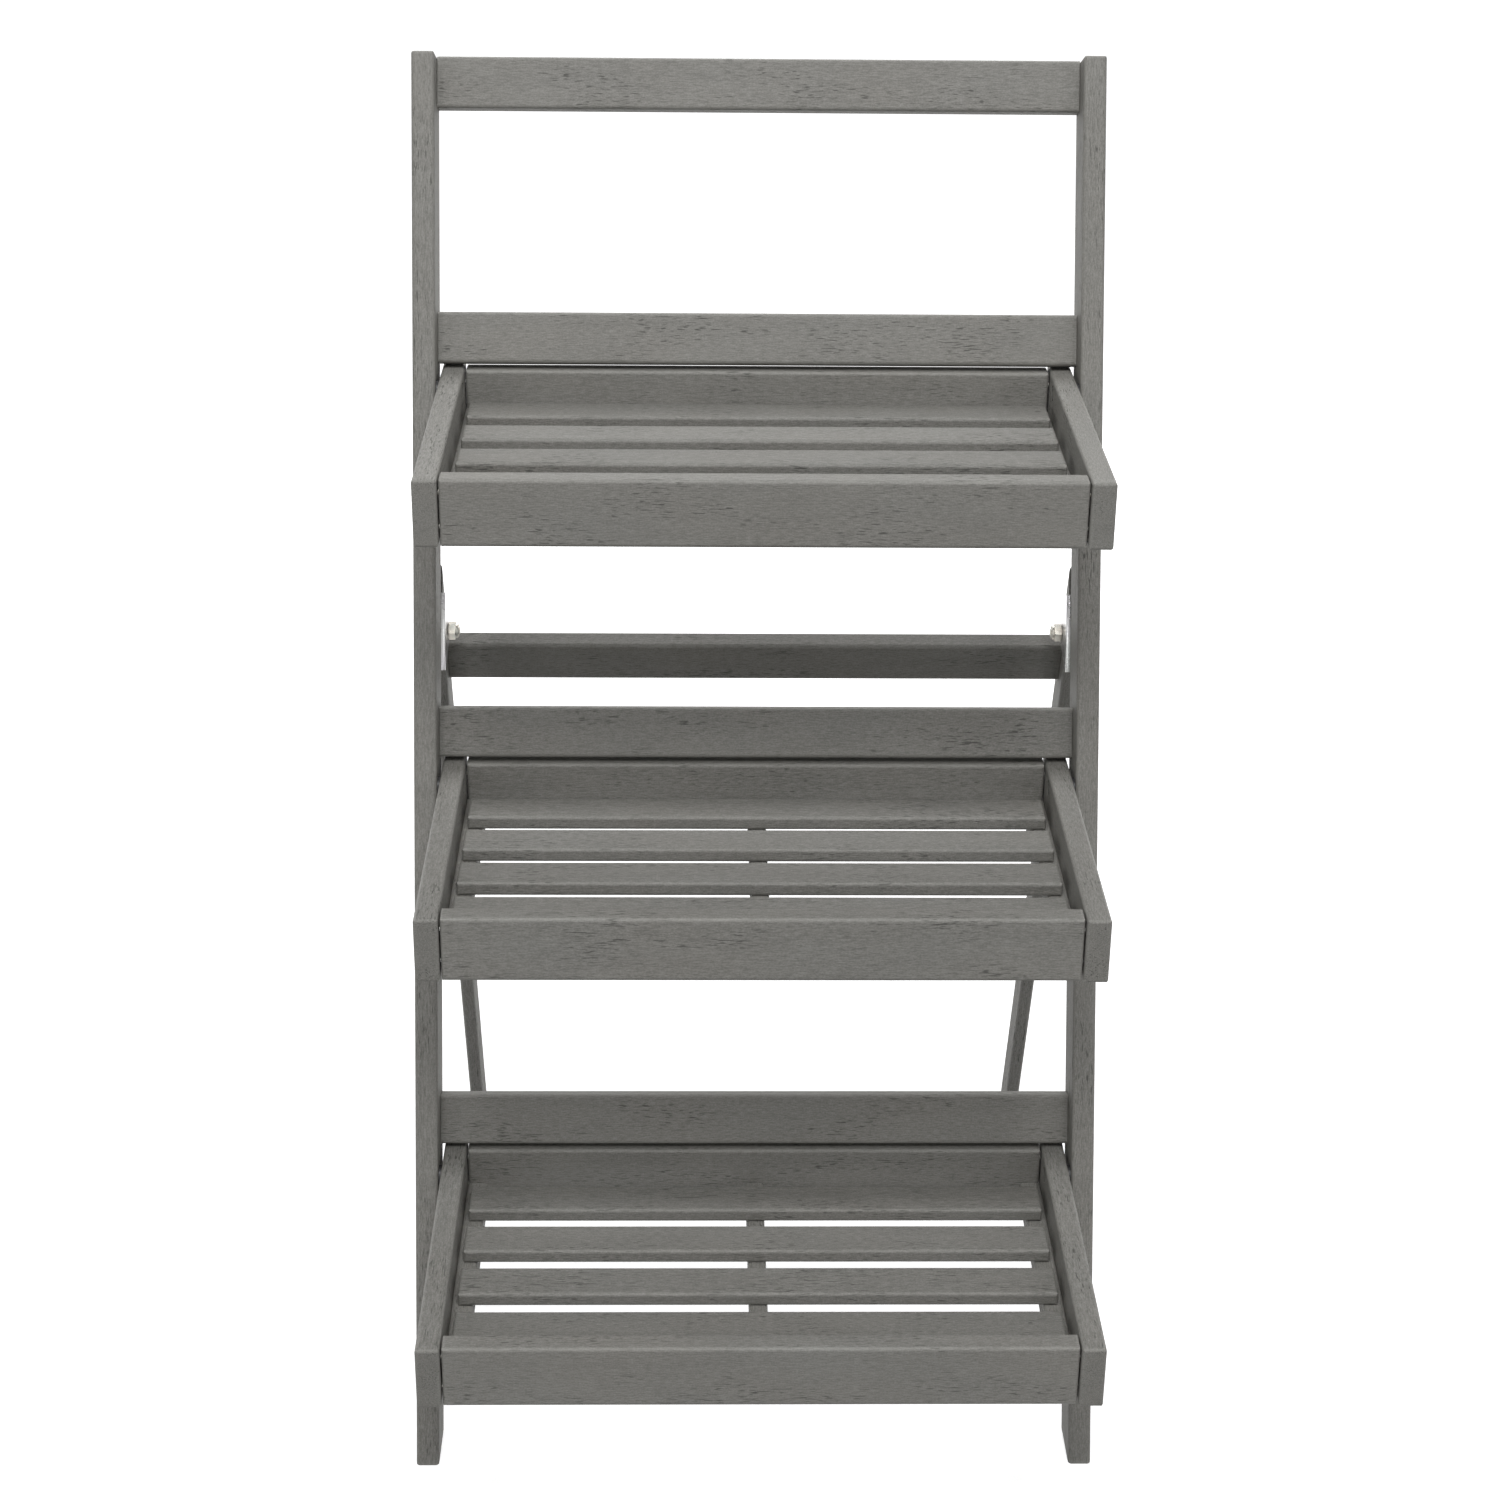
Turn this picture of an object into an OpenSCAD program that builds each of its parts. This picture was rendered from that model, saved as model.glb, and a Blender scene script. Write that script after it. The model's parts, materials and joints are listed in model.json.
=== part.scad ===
// Folding ladder stand for potted plants. A leaning front ladder carries three slatted trays that turn
// on bolts and fold up against it. A rear frame on two steel hinge brackets props the ladder up.
// X runs across the stand, Y from front to back and Z up. The origin is on the floor, at the middle of
// the stand's outline. Left and right are as seen from the front.

/* [Overall] */
// Width over the outer faces of the front legs
stand_w = 540; // [440:5:700]
// Thickness of the front legs, crossrails and tray rails
board_t = 18; // [16:0.5:21]
// Lean of the front ladder from upright, in degrees
front_lean = 21; // [18:0.5:23]
// Lean of the rear frame from upright, in degrees
rear_lean = 21; // [16:0.5:25]
// Rounding of the long edges of the boards
edge_r = 3; // [1:0.25:4]
// Rounding of the free ends of the boards
end_r = 2.5; // [0.5:0.25:3]
// Rounding of the ends that stand against another board
joint_r = 0.75; // [0.5:0.25:1.5]

/* [Front ladder] */
// Length of a front leg along its front edge
leg_l = 1115; // [1090:5:1200]
// Depth of a front leg from front to back
leg_d = 45; // [44:1:55]
// Height of a crossrail of the ladder
crossrail_h = 40; // [34:1:44]
// Distance down the legs from their tops to the top of the top tray's crossrail
top_step = 198; // [120:2:220]
// Distance down the legs from one tray's crossrail to the next
tray_pitch = 311; // [308:1:330]

/* [Rear frame] */
// Thickness of a rear leg, measured across the stand
rear_leg_t = 12; // [11:0.5:18]
// Depth of a rear leg from front to back
rear_leg_d = 34; // [30:1:40]
// Height of a rear crossrail
rear_rail_h = 38; // [28:1:42]
// Distance down a rear leg from the hinge bolt to the upper rear crossrail
upper_rail_drop = 16.5; // [16:0.5:60]
// Distance down a rear leg from the hinge bolt to the lower rear crossrail
lower_rail_drop = 362; // [300:2:372]
// Distance up the legs from the middle tray's crossrail to the hinge bolts
hinge_rise = 59; // [45:1:120]
// Distance from the back of a front leg to the hinge bolt
hinge_offset = 28; // [27:0.5:36]

/* [Trays] */
// How far a tray reaches in front of the ladder, level with its top
tray_reach = 236; // [180:2:238]
// How far a tray's side rails reach behind the front of the ladder
tray_back = 50; // [47:1:56]
// Height of the rails round a tray
tray_h = 51; // [46:1:51]
// Gap between a tray's side rail and the leg beside it
tray_gap = 2.5; // [2:0.25:4]
// How far the front rail's face sits behind the ends of the side rails
front_rail_step = 2; // [0:0.5:6]
// How far the back rail's face sits in front of the ends of the side rails
back_rail_step = 5; // [0:0.5:8]
// How far the back rail's top lies below the tops of the side rails
back_rail_lip = 0.5; // [0:0.5:4]
// Width of a slat
slat_w = 35; // [26:1:38]
// Thickness of a slat
slat_t = 11.5; // [9:0.5:12]
// Depth of the tray from its rim down to its slats
slat_drop = 20; // [18:1:23]
// Gap between a slat's end and the side rail
slat_end_gap = 5; // [2:0.5:6]
// Gap between the side rail and an end of the front or back rail
rail_end_gap = 1; // [0:0.5:4]
// Width of the cleats that carry the slats' ends
cleat_w = 16; // [12:1:20]
// Width of the batten under the middle of the slats
batten_w = 14; // [10:1:24]

/* [Tray pivots] */
// Distance from the front of the legs to the tray pivots
pivot_depth = 11; // [10.5:0.5:14]
// Distance from a tray's rim down to its pivots
pivot_drop = 11; // [9:0.5:12]
// Clearance between a folded tray and the crossrails behind it
fold_gap = 1; // [0.5:0.25:1.5]
// Clearance between an open tray's rim and the crossrail that stops it
stop_gap = 0.1; // [0.05:0.05:0.3]
// Diameter of a tray pivot bolt
pivot_bolt_d = 6; // [5:0.5:6.5]
// Diameter of the flat round nut on a pivot bolt
pivot_nut_d = 12; // [10:0.5:13]
// Thickness of that nut
pivot_nut_t = 2.2; // [1.5:0.1:2.4]
// Diameter of the washer between a leg and a tray
pivot_washer_d = 16; // [12:1:18]

/* [Hinge brackets] */
// Thickness of the steel of a hinge bracket
bracket_t = 2; // [1.5:0.25:2.5]
// Height of a hinge bracket
bracket_h = 62; // [54:1:80]
// Width of the bracket's flange on the back of the leg
bracket_flange_w = 16; // [14:1:18]
// Radius of the round end of the bracket about the bolt
bracket_eye_r = 11; // [9:0.5:12]
// How far the bracket's inner face stands inside the inner face of the leg
bracket_step = 3.2; // [2.6:0.1:4]
// Diameter of a hinge bolt
hinge_bolt_d = 8; // [6:0.5:9]
// Width across the flats of the lock nut on a hinge bolt
hinge_nut_af = 13; // [12:0.5:14]
// Height of the nut's six-sided part
hinge_nut_t = 6.5; // [5:0.5:8]
// Height of the nut's round collar
hinge_collar_t = 2; // [1:0.25:2.5]
// Diameter of the round head of a hinge bolt
hinge_head_d = 18; // [16:0.5:20]
// Height of that head
hinge_head_t = 3.6; // [3:0.2:5]

/* [Screws] */
// Length of the screws that join rails to legs
frame_screw_l = 45; // [38:1:50]
// Diameter of those screws
frame_screw_d = 4; // [3.5:0.25:4.5]
// Diameter of the small screws in brackets, cleats and slats
small_screw_d = 3.2; // [2.8:0.2:3.6]
// Length of the screws in a hinge bracket
bracket_screw_l = 20; // [14:1:26]

/* [Hidden] */
$fn = 48;
running_gap = 0.08;   // radial, round a bolt that something turns on
screw_gap = 0.05;     // radial, round a screw in its hole
side_gap = 0.3;       // between faces that slide past each other
big = 3 * leg_l;      // longer than anything in the stand
legs_x = stand_w / 2; // outer face of a front leg
inner_x = legs_x - board_t;

// Front ladder, measured along the legs (up) and square to them (back)
crossrail_setback = pivot_depth + pivot_drop + fold_gap;
crossrail_drops = [0, top_step, top_step + tray_pitch, top_step + 2 * tray_pitch];
crossrail_l = 2 * inner_x;
crossrail_screw_rise = crossrail_h / 4;

// Height of a tray's rim: the rounded lower back edge of its crossrail rests on the side rails
function tray_z(i) =
    (leg_l - crossrail_drops[i + 1] - crossrail_h + edge_r) * cos(front_lean)
    - (crossrail_setback + board_t - edge_r) * sin(front_lean) - edge_r - stop_gap;
// Where the front of the legs stands at that height, behind the front feet
function tray_y(i) = tray_z(i) * tan(front_lean);
// Height of a tray's pivots along the legs
function pivot_up(i) = (tray_z(i) - pivot_drop + pivot_depth * sin(front_lean)) / cos(front_lean);

// Hinge bolts
hinge_drop = crossrail_drops[2] - hinge_rise;
hinge_depth = leg_d + hinge_offset;
hinge_y = (leg_l - hinge_drop) * sin(front_lean) + hinge_depth * cos(front_lean);
hinge_z = (leg_l - hinge_drop) * cos(front_lean) - hinge_depth * sin(front_lean);
fold_angle = front_lean + rear_lean;

// Rear frame, measured from the hinge bolt along the rear legs and square to them
bracket_x = inner_x - bracket_step;
rear_x = bracket_x + bracket_t + side_gap;
rear_leg_l = hinge_z / cos(rear_lean);
bevel_reach = hinge_offset - bracket_t - side_gap;
rear_tip = (bevel_reach + rear_leg_d / 2 * cos(fold_angle)) / sin(fold_angle);
rear_rail_drops = [upper_rail_drop, lower_rail_drop];
rear_rail_t = rear_leg_d / 2; // a rear crossrail fills the back half of the legs' depth
rear_screw_rise = rear_rail_h / 4;

// The front feet stand here, so that the origin is at the middle of the outline
outline_front = min(0, tray_y(2) - tray_reach);
outline_back = hinge_y + hinge_z * tan(rear_lean) + rear_leg_d / 2 / cos(rear_lean);
foot_y = -(outline_front + outline_back) / 2;

// Trays, measured from the front of the legs and from the rim
tray_x = inner_x - tray_gap;
tray_in_x = tray_x - board_t;
front_rail_y = -tray_reach + front_rail_step;
back_rail_y = tray_back - back_rail_step - board_t;
tray_in_front = front_rail_y + board_t;
tray_in_d = back_rail_y - tray_in_front;
slat_count = 4;
slat_space = (tray_in_d - slat_count * slat_w) / (slat_count + 1);
slat_l = 2 * (tray_in_x - slat_end_gap);
cleat_top = -slat_drop - slat_t;
cleat_lift = 0.5;
cleat_h = tray_h - slat_drop - slat_t - cleat_lift;
small_screw_l = cleat_h + slat_t / 2;
pivot_y = pivot_depth / cos(front_lean) - pivot_drop * tan(front_lean);
washer_t = tray_gap - side_gap;
nut_recess = pivot_nut_t + side_gap; // the nuts lie flush in the inner faces of the side rails
tray_screw_rise = tray_h / 4;

// Hinge bracket outline, from the hinge bolt: its bend, where it starts to narrow, and where the edge
// from there meets the round end
bend_y = bracket_t - hinge_offset;
taper_y = bend_y + bracket_t;
taper_dist = norm([taper_y, bracket_h / 2]);
edge_reach = bracket_eye_r - 0.1; // the straight edge runs just inside the round end
eye_turn = atan2(bracket_h / 2, taper_y) - acos(edge_reach / taper_dist);
bracket_screw_rise = bracket_h / 3;
bolt_end = 1;    // how far a hinge bolt stands out of its nut
head_rim = 0.8;  // height of the rim of a hinge bolt's head
crown_steps = 6; // flat bands in the crown of that head

SIDE_NAMES = ["left", "right"];
FRONT_NODES = ["left_front_leg", "right_front_leg", "top_crossrail", "upper_crossrail", "middle_crossrail",
    "lower_crossrail", "crossrail_screws", "left_hinge_bracket", "right_hinge_bracket", "bracket_screws",
    "hinge_bolts", "hinge_nuts", "tray_pivot_bolts", "tray_pivot_washers", "tray_pivot_nuts"];
REAR_NODES = ["left_rear_leg", "right_rear_leg", "upper_rear_crossrail", "lower_rear_crossrail",
    "rear_crossrail_screws"];
TRAY_PARTS = ["left_side_rail", "right_side_rail", "front_rail", "back_rail", "slat_1", "slat_2", "slat_3",
    "slat_4", "left_cleat", "right_cleat", "batten", "rail_screws", "slat_screws"];
TRAY_NAMES = ["top_tray", "middle_tray", "bottom_tray"];

WOOD = [0.5, 0.5, 0.47];
STEEL = [0.78, 0.79, 0.8];

// ---- Shapes ----

module rounded_rect(size, r) {
    translate([r, 0]) square([size[0] - 2 * r, size[1]]);
    translate([0, r]) square([size[0], size[1] - 2 * r]);
    for (x = [r, size[0] - r], y = [r, size[1] - r]) translate([x, y]) circle(r);
}

// A board whose grain runs along one axis (0 = X, 1 = Y, 2 = Z), with its long edges and ends rounded
module board(size, along, ends) {
    r = [for (axis = [0:2]) axis == along ? edge_r : ends];
    intersection() {
        linear_extrude(size[2]) rounded_rect([size[0], size[1]], r[2]);
        rotate([90, 0, 90]) linear_extrude(size[0]) rounded_rect([size[1], size[2]], r[0]);
        translate([0, size[1], 0]) rotate([90, 0, 0]) linear_extrude(size[1])
            rounded_rect([size[0], size[2]], r[1]);
    }
}

// A countersunk wood screw, pointing up, with the top of its head at the origin
module screw(l, d) {
    rotate_extrude() polygon([[0, 0], [d, 0], [d / 2, d / 2], [d / 2, l - d], [0, l]]);
}

// The hole that such a screw sits in
module screw_hole(l, d) {
    r = d / 2 + screw_gap;
    rotate_extrude() polygon([[0, -1], [2 * r, -1], [2 * r, 0], [r, r], [r, l - d], [0, l + screw_gap]]);
}

module rod_x(from_x, to_x, d) {
    translate([from_x, 0, 0]) rotate([0, 90, 0]) cylinder(h = to_x - from_x, d = d);
}

module on_side(side) {
    mirror([side == "left" ? 1 : 0, 0, 0]) children();
}

module on_both_sides() {
    for (side = SIDE_NAMES) on_side(side) children();
}

module above_floor() {
    intersection() {
        children();
        translate([-big / 2, -big / 2, 0]) cube(big);
    }
}

// ---- Places. What a side needs is drawn on the right and mirrored for the left ----

module on_ladder() {
    translate([0, foot_y, 0]) rotate([-front_lean, 0, 0]) children();
}

module on_rear_frame() {
    translate([0, foot_y + hinge_y, hinge_z]) rotate([rear_lean, 0, 0]) children();
}

module on_tray(i) {
    translate([0, foot_y + tray_y(i), tray_z(i)]) children();
}

module at_tray_pivots() {
    for (i = [0:2]) translate([0, pivot_depth, pivot_up(i)]) children();
}

module at_hinge() {
    translate([0, hinge_depth, leg_l - hinge_drop]) children();
}

module at_crossrail_screws() {
    for (drop = crossrail_drops, up = [-1, 1])
        translate([legs_x, crossrail_setback + board_t / 2,
                leg_l - drop - crossrail_h / 2 + up * crossrail_screw_rise])
            rotate([0, -90, 0]) children();
}

module at_bracket_screws() {
    for (up = [-1, 1])
        translate([bracket_x + bracket_flange_w / 2 + bracket_t, leg_d + bracket_t,
                leg_l - hinge_drop + up * bracket_screw_rise])
            rotate([90, 0, 0]) children();
}

module at_rear_screws() {
    for (drop = rear_rail_drops, up = [-1, 1])
        translate([rear_x + rear_leg_t, rear_rail_t / 2, -drop - rear_rail_h / 2 + up * rear_screw_rise])
            rotate([0, -90, 0]) children();
}

// Screws through a side rail into the ends of the front and back rails
module at_rail_screws() {
    for (y = [front_rail_y, back_rail_y], up = [-1, 1])
        translate([tray_x, y + board_t / 2, -tray_h / 2 + up * tray_screw_rise])
            rotate([0, -90, 0]) children();
}

function slat_y(n) = back_rail_y - n * (slat_space + slat_w);

// Screws through a cleat into the side rail, between the slats
module at_cleat_screws() {
    for (n = [1:slat_count - 1])
        translate([tray_in_x - cleat_w, slat_y(n) - slat_space / 2, cleat_top - cleat_h / 2])
            rotate([0, 90, 0]) children();
}

// Screws up through a cleat or the batten into each slat
module at_slat_screws(x) {
    for (n = [1:slat_count]) translate([x, slat_y(n) + slat_w / 2, cleat_top - cleat_h]) children();
}

slat_screw_x = tray_in_x - (cleat_w + slat_end_gap) / 2;

// ---- Front ladder ----

module pivot_bolt(clearance) {
    d = pivot_bolt_d + 2 * clearance;
    rod_x(tray_in_x, legs_x, d);
    translate([legs_x, 0, 0]) rotate([0, -90, 0]) cylinder(h = d / 2, d1 = 2 * d, d2 = d);
}

module front_leg(side) {
    color(WOOD) on_side(side) above_floor() on_ladder() difference() {
        translate([inner_x, 0, -leg_d]) board([board_t, leg_d, leg_l + leg_d], 2, end_r);
        at_tray_pivots() pivot_bolt(running_gap);
        at_crossrail_screws() screw_hole(frame_screw_l, frame_screw_d);
        at_bracket_screws() screw_hole(bracket_screw_l, small_screw_d);
    }
}

module crossrail(n) {
    color(WOOD) on_ladder() difference() {
        translate([-inner_x, crossrail_setback, leg_l - crossrail_drops[n] - crossrail_h])
            board([crossrail_l, board_t, crossrail_h], 0, joint_r);
        on_both_sides() at_crossrail_screws() screw_hole(frame_screw_l, frame_screw_d);
    }
}

module crossrail_screws() {
    color(STEEL) on_ladder() on_both_sides() at_crossrail_screws() screw(frame_screw_l, frame_screw_d);
}

// The triangular web beside the rear leg, about the hinge bolt
module bracket_web() {
    eye = edge_reach * [cos(eye_turn), sin(eye_turn)];
    half = bracket_h / 2;
    difference() {
        union() {
            polygon([[bend_y, half], [taper_y, half], eye, [eye[0], -eye[1]], [taper_y, -half],
                [bend_y, -half]]);
            circle(bracket_eye_r);
        }
        circle(d = hinge_bolt_d + 2 * running_gap);
    }
}

// The flange, the bend and the start of the web, seen along the leg from the inside of the bend
module bracket_bend() {
    translate([0, -bracket_t]) square([bracket_flange_w - bracket_t, bracket_t]);
    translate([-bracket_t, 0]) square(bracket_t);
    intersection() {
        circle(bracket_t);
        translate([-bracket_t, -bracket_t]) square(bracket_t);
    }
}

module hinge_bracket(side) {
    color(STEEL) on_side(side) on_ladder() difference() {
        union() {
            at_hinge() translate([bracket_x, 0, 0]) rotate([90, 0, 90]) linear_extrude(bracket_t)
                bracket_web();
            translate([bracket_x + bracket_t, leg_d + bracket_t, leg_l - hinge_drop - bracket_h / 2])
                linear_extrude(bracket_h) bracket_bend();
        }
        at_bracket_screws() screw_hole(bracket_screw_l, small_screw_d);
    }
}

module bracket_screws() {
    color(STEEL) on_ladder() on_both_sides() at_bracket_screws() screw(bracket_screw_l, small_screw_d);
}

// A low round bolt head, crowned towards +X, with a short upright rim. The bolt's shank starts inside it.
module round_head(d, h) {
    crown_h = h - head_rim;
    crown_r = (pow(d / 2, 2) + pow(crown_h, 2)) / (2 * crown_h);
    crown_angle = asin(d / 2 / crown_r);
    crown = [for (i = [1:crown_steps]) let (a = crown_angle * (1 - i / crown_steps))
        [crown_r * sin(a), h - crown_r * (1 - cos(a))]];
    rotate([0, 90, 0]) rotate_extrude() polygon(concat([[0, 0], [d / 2, 0], [d / 2, head_rim]], crown));
}

// Each bolt has its head outside the rear leg and ends just past its nut
module hinge_bolts() {
    nut_end_x = bracket_x - hinge_nut_t - hinge_collar_t - bolt_end;
    head_x = rear_x + rear_leg_t + side_gap;
    color(STEEL) on_ladder() on_both_sides() at_hinge() {
        rod_x(nut_end_x, head_x + hinge_head_t / 2, hinge_bolt_d);
        translate([head_x, 0, 0]) round_head(hinge_head_d, hinge_head_t);
    }
}

module hinge_nuts() {
    af_r = hinge_nut_af / 2 / cos(30);
    color(STEEL) on_ladder() on_both_sides() at_hinge() difference() {
        union() {
            translate([bracket_x, 0, 0]) rotate([0, -90, 0]) cylinder(h = hinge_nut_t, r = af_r, $fn = 6);
            rod_x(bracket_x - hinge_nut_t - hinge_collar_t, bracket_x - hinge_nut_t, hinge_nut_af);
        }
        rod_x(bracket_x - 2 * hinge_nut_t - 1, bracket_x + 1, hinge_bolt_d);
    }
}

module tray_pivot_bolts() {
    color(STEEL) on_ladder() on_both_sides() at_tray_pivots() pivot_bolt(0);
}

module tray_pivot_washers() {
    color(STEEL) on_ladder() on_both_sides() at_tray_pivots() difference() {
        rod_x(inner_x - washer_t, inner_x, pivot_washer_d);
        rod_x(inner_x - washer_t - 1, inner_x + 1, pivot_bolt_d + 2 * running_gap);
    }
}

module tray_pivot_nuts() {
    outer_x = tray_in_x + pivot_nut_t;
    color(STEEL) on_ladder() on_both_sides() at_tray_pivots() difference() {
        translate([outer_x, 0, 0]) rotate([0, -90, 0])
            cylinder(h = pivot_nut_t, d1 = pivot_nut_d, d2 = pivot_nut_d - pivot_nut_t);
        rod_x(outer_x - 2 * pivot_nut_t, outer_x + 1, pivot_bolt_d);
    }
}

// ---- Rear frame ----

// Side outline of a rear leg. Its top is cut to lie against the back of the front leg when the stand is
// open, and its front corner is rounded about the bolt so that it can turn.
module rear_leg_outline() {
    intersection() {
        translate([-rear_leg_d / 2, -rear_leg_l - rear_leg_d]) square([rear_leg_d, big]);
        union() {
            translate([-big / 2, -big]) square(big);
            circle(bevel_reach);
            rotate(-fold_angle) translate([-bevel_reach, 0]) square(big);
        }
    }
}

module rear_leg(side) {
    color(WOOD) on_side(side) above_floor() on_rear_frame() difference() {
        intersection() {
            translate([rear_x, -rear_leg_d / 2, -rear_leg_l - rear_leg_d])
                board([rear_leg_t, rear_leg_d, rear_leg_l + 2 * rear_leg_d + rear_tip], 2, end_r);
            translate([rear_x, 0, 0]) rotate([90, 0, 90]) linear_extrude(rear_leg_t) rear_leg_outline();
        }
        rod_x(rear_x - 1, rear_x + rear_leg_t + 1, hinge_bolt_d + 2 * running_gap);
        at_rear_screws() screw_hole(frame_screw_l, frame_screw_d);
    }
}

module rear_crossrail(n) {
    color(WOOD) on_rear_frame() difference() {
        translate([-rear_x, 0, -rear_rail_drops[n] - rear_rail_h])
            board([2 * rear_x, rear_rail_t, rear_rail_h], 0, joint_r);
        on_both_sides() at_rear_screws() screw_hole(frame_screw_l, frame_screw_d);
    }
}

module rear_crossrail_screws() {
    color(STEEL) on_rear_frame() on_both_sides() at_rear_screws() screw(frame_screw_l, frame_screw_d);
}

// ---- Trays, 0 = top, 1 = middle, 2 = bottom ----

module side_rail(i, side) {
    color(WOOD) on_tray(i) on_side(side) difference() {
        translate([tray_in_x, -tray_reach, -tray_h])
            board([board_t, tray_reach + tray_back, tray_h], 1, end_r);
        translate([0, pivot_y, -pivot_drop]) {
            rod_x(tray_in_x - 1, tray_x + 1, pivot_bolt_d + 2 * running_gap);
            rod_x(tray_in_x - 1, tray_in_x + nut_recess, pivot_nut_d + 2 * side_gap);
        }
        at_rail_screws() screw_hole(frame_screw_l, frame_screw_d);
        at_cleat_screws() screw_hole(small_screw_l, small_screw_d);
    }
}

module cross_board(i, y, h) {
    half_l = tray_in_x - rail_end_gap;
    color(WOOD) on_tray(i) difference() {
        translate([-half_l, y, -tray_h]) board([2 * half_l, board_t, h], 0, end_r);
        on_both_sides() at_rail_screws() screw_hole(frame_screw_l, frame_screw_d);
    }
}

module front_rail(i) {
    cross_board(i, front_rail_y, tray_h);
}

module back_rail(i) {
    cross_board(i, back_rail_y, tray_h - back_rail_lip);
}

// Slats are counted from the back
module slat(i, n) {
    color(WOOD) on_tray(i) difference() {
        translate([-slat_l / 2, slat_y(n), cleat_top]) board([slat_l, slat_w, slat_t], 0, end_r);
        on_both_sides() at_slat_screws(slat_screw_x) screw_hole(small_screw_l, small_screw_d);
        at_slat_screws(0) screw_hole(small_screw_l, small_screw_d);
    }
}

module cleat(i, side) {
    color(WOOD) on_tray(i) on_side(side) difference() {
        translate([tray_in_x - cleat_w, tray_in_front, cleat_top - cleat_h])
            board([cleat_w, tray_in_d, cleat_h], 1, joint_r);
        at_cleat_screws() screw_hole(small_screw_l, small_screw_d);
        at_slat_screws(slat_screw_x) screw_hole(small_screw_l, small_screw_d);
    }
}

module batten(i) {
    color(WOOD) on_tray(i) difference() {
        translate([-batten_w / 2, tray_in_front, cleat_top - cleat_h])
            board([batten_w, tray_in_d, cleat_h], 1, joint_r);
        at_slat_screws(0) screw_hole(small_screw_l, small_screw_d);
    }
}

module rail_screws(i) {
    color(STEEL) on_tray(i) on_both_sides() at_rail_screws() screw(frame_screw_l, frame_screw_d);
}

module slat_screws(i) {
    color(STEEL) on_tray(i) {
        on_both_sides() at_cleat_screws() screw(small_screw_l, small_screw_d);
        on_both_sides() at_slat_screws(slat_screw_x) screw(small_screw_l, small_screw_d);
        at_slat_screws(0) screw(small_screw_l, small_screw_d);
    }
}

front_leg("left");  // left_front_leg
front_leg("right");  // right_front_leg
crossrail(0);  // top_crossrail
crossrail(1);  // upper_crossrail
crossrail(2);  // middle_crossrail
crossrail(3);  // lower_crossrail
crossrail_screws();
hinge_bracket("left");  // left_hinge_bracket
hinge_bracket("right");  // right_hinge_bracket
bracket_screws();
hinge_bolts();
hinge_nuts();
tray_pivot_bolts();
tray_pivot_washers();
tray_pivot_nuts();
rear_leg("left");  // left_rear_leg
rear_leg("right");  // right_rear_leg
rear_crossrail(0);  // upper_rear_crossrail
rear_crossrail(1);  // lower_rear_crossrail
rear_crossrail_screws();
side_rail(0, "left");  // top_tray_left_side_rail
side_rail(0, "right");  // top_tray_right_side_rail
front_rail(0);  // top_tray_front_rail
back_rail(0);  // top_tray_back_rail
slat(0, 1);  // top_tray_slat_1
slat(0, 2);  // top_tray_slat_2
slat(0, 3);  // top_tray_slat_3
slat(0, 4);  // top_tray_slat_4
cleat(0, "left");  // top_tray_left_cleat
cleat(0, "right");  // top_tray_right_cleat
batten(0);  // top_tray_batten
rail_screws(0);  // top_tray_rail_screws
slat_screws(0);  // top_tray_slat_screws
side_rail(1, "left");  // middle_tray_left_side_rail
side_rail(1, "right");  // middle_tray_right_side_rail
front_rail(1);  // middle_tray_front_rail
back_rail(1);  // middle_tray_back_rail
slat(1, 1);  // middle_tray_slat_1
slat(1, 2);  // middle_tray_slat_2
slat(1, 3);  // middle_tray_slat_3
slat(1, 4);  // middle_tray_slat_4
cleat(1, "left");  // middle_tray_left_cleat
cleat(1, "right");  // middle_tray_right_cleat
batten(1);  // middle_tray_batten
rail_screws(1);  // middle_tray_rail_screws
slat_screws(1);  // middle_tray_slat_screws
side_rail(2, "left");  // bottom_tray_left_side_rail
side_rail(2, "right");  // bottom_tray_right_side_rail
front_rail(2);  // bottom_tray_front_rail
back_rail(2);  // bottom_tray_back_rail
slat(2, 1);  // bottom_tray_slat_1
slat(2, 2);  // bottom_tray_slat_2
slat(2, 3);  // bottom_tray_slat_3
slat(2, 4);  // bottom_tray_slat_4
cleat(2, "left");  // bottom_tray_left_cleat
cleat(2, "right");  // bottom_tray_right_cleat
batten(2);  // bottom_tray_batten
rail_screws(2);  // bottom_tray_rail_screws
slat_screws(2);  // bottom_tray_slat_screws
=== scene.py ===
import json
import math
import random

import bmesh
import bpy
from mathutils import Matrix, Vector


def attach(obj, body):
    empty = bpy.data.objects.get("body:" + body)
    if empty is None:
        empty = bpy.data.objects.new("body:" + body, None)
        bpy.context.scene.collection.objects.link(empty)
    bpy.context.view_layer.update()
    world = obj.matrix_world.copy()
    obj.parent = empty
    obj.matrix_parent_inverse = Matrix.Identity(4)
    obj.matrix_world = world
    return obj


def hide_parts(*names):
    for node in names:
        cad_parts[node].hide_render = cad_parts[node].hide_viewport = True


# The looks of a folding plant ladder stand: its grey-stained boards, the zinc-plated brackets that its rear
# frame hinges on, and the screws, bolts and nuts that hold it together. Lengths are in metres.

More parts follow.
